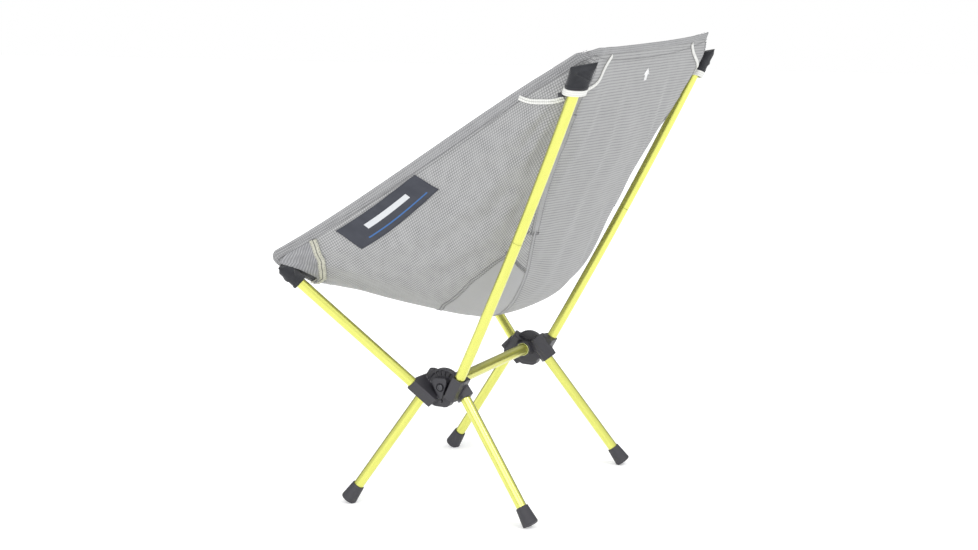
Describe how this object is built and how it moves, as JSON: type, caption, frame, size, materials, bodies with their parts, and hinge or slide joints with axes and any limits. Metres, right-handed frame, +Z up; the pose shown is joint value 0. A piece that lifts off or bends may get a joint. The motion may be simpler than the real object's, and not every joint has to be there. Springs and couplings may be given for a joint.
{
  "type": "ultralight backpacking chair",
  "caption": "Folding camping chair: low fabric bucket sling on shock-corded tube poles, joined by two resin hubs and one crossbar, on splayed legs with rubber feet.",
  "frame": {"origin": "on the ground, under the middle of the chair's outline", "axes": "+Z up, the sitter faces -Y, +X towards the sitter's left"},
  "size_m": [0.5222, 0.4711, 0.6423],
  "materials": {
    "anodised": "satin yellow-green anodised",
    "hub_resin": "fine moulded texture",
    "rubber": "matt",
    "steel": "blackened",
    "cord": "braided shock cord",
    "ripstop": "light grey ripstop weave",
    "pocket_fabric": "dense black weave",
    "webbing": "off-white flat webbing",
    "patch_fabric": "dark stitched patch"
  },
  "bodies": {
    "frame": {"crossbar": "anodised", "crossbar_plug_left": "hub_resin", "crossbar_plug_right": "hub_resin", "hub_left": "hub_resin", "pivot_pin_left": "steel", "front_pole_left": "anodised", "back_pole_lower_left": "anodised", "back_pole_upper_left": "anodised", "back_pole_ferrule_left": "steel", "cord_pole_front_left": "cord", "cord_pole_back_left": "cord", "tip_cap_front_left": "hub_resin", "tip_cap_back_left": "hub_resin", "pocket_front_left": "pocket_fabric", "pocket_back_left": "pocket_fabric", "pocket_band_left": "webbing", "sling_wing_left": "ripstop", "sling_middle": "ripstop", "side_patch": "patch_fabric"},
    "right_frame": {"hub_right": "hub_resin", "pivot_pin_right": "steel", "front_pole_right": "anodised", "back_pole_lower_right": "anodised", "back_pole_upper_right": "anodised", "back_pole_ferrule_right": "steel", "cord_pole_front_right": "cord", "cord_pole_back_right": "cord", "tip_cap_front_right": "hub_resin", "tip_cap_back_right": "hub_resin", "pocket_front_right": "pocket_fabric", "pocket_back_right": "pocket_fabric", "pocket_band_right": "webbing", "sling_wing_right": "ripstop"},
    "leg_front_left": {"leg_front_left": "anodised", "foot_front_left": "rubber", "cord_leg_front_left": "cord"},
    "leg_rear_left": {"leg_rear_left": "anodised", "foot_rear_left": "rubber", "cord_leg_rear_left": "cord"},
    "leg_front_right": {"leg_front_right": "anodised", "foot_front_right": "rubber", "cord_leg_front_right": "cord"},
    "leg_rear_right": {"leg_rear_right": "anodised", "foot_rear_right": "rubber", "cord_leg_rear_right": "cord"}
  },
  "joints": [
    {"name": "frame_swivel", "type": "hinge", "parent": "frame", "child": "right_frame", "pos_m": [0, -0.0168, 0.1756], "axis": [1, 0, 0], "range_deg": [-5, 5], "stiffness_Nm_per_rad": 20},
    {"name": "leg_front_left_pull", "type": "slide", "parent": "frame", "child": "leg_front_left", "axis": [0.1295, -0.5578, -0.8198], "range_m": [0, 0.026], "stiffness_N_per_m": 100, "springref_m": -0.04},
    {"name": "leg_rear_left_pull", "type": "slide", "parent": "frame", "child": "leg_rear_left", "axis": [0.1635, 0.5724, -0.8035], "range_m": [0, 0.026], "stiffness_N_per_m": 100, "springref_m": -0.04},
    {"name": "leg_front_right_pull", "type": "slide", "parent": "right_frame", "child": "leg_front_right", "axis": [-0.1295, -0.5578, -0.8198], "range_m": [0, 0.026], "stiffness_N_per_m": 100, "springref_m": -0.04},
    {"name": "leg_rear_right_pull", "type": "slide", "parent": "right_frame", "child": "leg_rear_right", "axis": [-0.1635, 0.5724, -0.8035], "range_m": [0, 0.026], "stiffness_N_per_m": 100, "springref_m": -0.04}
  ]
}
